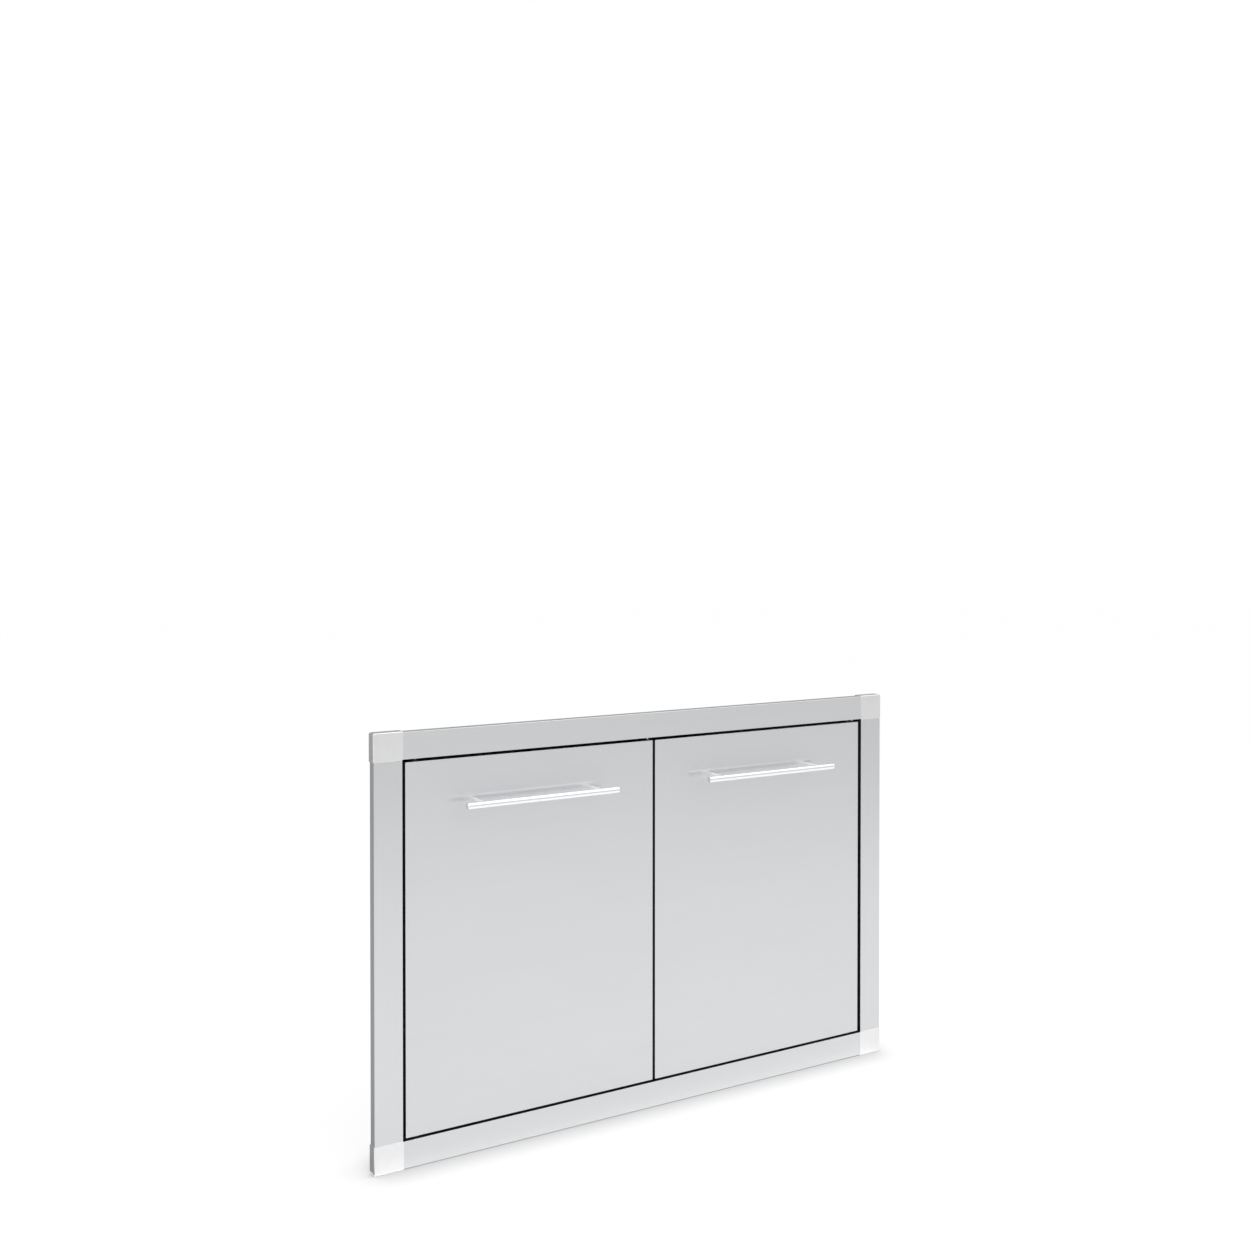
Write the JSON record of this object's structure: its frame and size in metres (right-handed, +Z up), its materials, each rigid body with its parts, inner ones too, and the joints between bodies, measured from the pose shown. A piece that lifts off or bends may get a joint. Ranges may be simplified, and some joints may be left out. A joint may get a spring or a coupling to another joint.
{
  "type": "access door",
  "caption": "Built-in island access door with a flanged steel frame, cast corners, a sleeve, inset doors and bar handles.",
  "frame": {"origin": "centre of the island's cut-out, in the plane of the island's front face, which the backs of the rails rest on", "axes": "+X to the viewer's right along the frame's width, +Y into the island, +Z up; the doors and handles face -Y"},
  "size_m": [0.9168, 0.1031, 0.6104],
  "materials": {
    "brushed_rail_steel": "stainless steel, brushed along each rail",
    "brushed_door_steel": "stainless steel, brushed level",
    "cast_corner_metal": "pale satin casting",
    "sleeve_steel": "stainless sheet, mill finish",
    "black_plate_steel": "black coated steel",
    "black_pin_steel": "turned rod, blackened",
    "zinc_steel": "zinc-plated steel",
    "screw_steel": "stainless fasteners and spring wire",
    "polished_handle_steel": "polished stainless steel",
    "black_plastic": "moulded",
    "magnet_poles": "plated magnet and pole plates",
    "black_nylon": "turned nylon, black",
    "black_rubber": "soft rubber"
  },
  "bodies": {
    "frame": {"top_rail": "brushed_rail_steel", "bottom_rail": "brushed_rail_steel", "left_rail": "brushed_rail_steel", "right_rail": "brushed_rail_steel", "corner_top_left": "cast_corner_metal", "corner_top_right": "cast_corner_metal", "corner_bottom_left": "cast_corner_metal", "corner_bottom_right": "cast_corner_metal", "sleeve_top": "sleeve_steel", "sleeve_bottom": "sleeve_steel", "sleeve_left": "sleeve_steel", "sleeve_right": "sleeve_steel", "reveal_seal": "black_rubber", "left_upper_hinge_plate": "black_plate_steel", "left_lower_hinge_plate": "black_plate_steel", "right_upper_hinge_plate": "black_plate_steel", "right_lower_hinge_plate": "black_plate_steel", "left_hinge_pin": "black_pin_steel", "right_hinge_pin": "black_pin_steel", "hinge_plate_screws": "screw_steel", "corner_screws": "screw_steel", "left_catch_case": "black_plastic", "right_catch_case": "black_plastic", "left_catch_magnet": "magnet_poles", "right_catch_magnet": "magnet_poles", "catch_screws": "screw_steel", "stop_bracket": "sleeve_steel", "stop_bumpers": "black_rubber", "stop_bracket_screws": "screw_steel"},
    "left_door": {"left_door_skin": "brushed_door_steel", "left_door_liner": "sleeve_steel", "left_door_edge_seal": "black_rubber", "left_upper_bush": "black_nylon", "left_lower_bush": "black_nylon", "left_strike_plate": "zinc_steel", "left_handle_bar": "polished_handle_steel", "left_handle_posts": "polished_handle_steel", "left_handle_strip": "zinc_steel", "left_handle_spacers": "zinc_steel", "left_handle_screws": "screw_steel", "left_bolt_guide": "zinc_steel", "left_bolt_spring": "screw_steel"},
    "right_door": {"right_door_skin": "brushed_door_steel", "right_door_liner": "sleeve_steel", "right_door_edge_seal": "black_rubber", "right_upper_bush": "black_nylon", "right_lower_bush": "black_nylon", "right_strike_plate": "zinc_steel", "right_handle_bar": "polished_handle_steel", "right_handle_posts": "polished_handle_steel", "right_handle_strip": "zinc_steel", "right_handle_spacers": "zinc_steel", "right_handle_screws": "screw_steel", "right_bolt_guide": "zinc_steel", "right_bolt_spring": "screw_steel"},
    "left_bolt": {"left_hinge_bolt": "black_pin_steel"},
    "right_bolt": {"right_hinge_bolt": "black_pin_steel"}
  },
  "joints": [
    {"name": "left_door_swing", "type": "hinge", "parent": "frame", "child": "left_door", "pos_m": [-0.3922, -0.0041, 0], "axis": [0, 0, -1], "range_deg": [0, 130]},
    {"name": "left_bolt_slide", "type": "slide", "parent": "left_door", "child": "left_bolt", "axis": [0, 0, -1], "range_m": [0, 0.009], "stiffness_N_per_m": 400, "springref_m": -0.02, "deforming": ["left_bolt_spring"]},
    {"name": "right_door_swing", "type": "hinge", "parent": "frame", "child": "right_door", "pos_m": [0.3922, -0.0041, 0], "axis": [0, 0, 1], "range_deg": [0, 130]},
    {"name": "right_bolt_slide", "type": "slide", "parent": "right_door", "child": "right_bolt", "axis": [0, 0, -1], "range_m": [0, 0.009], "stiffness_N_per_m": 400, "springref_m": -0.02, "deforming": ["right_bolt_spring"]}
  ]
}
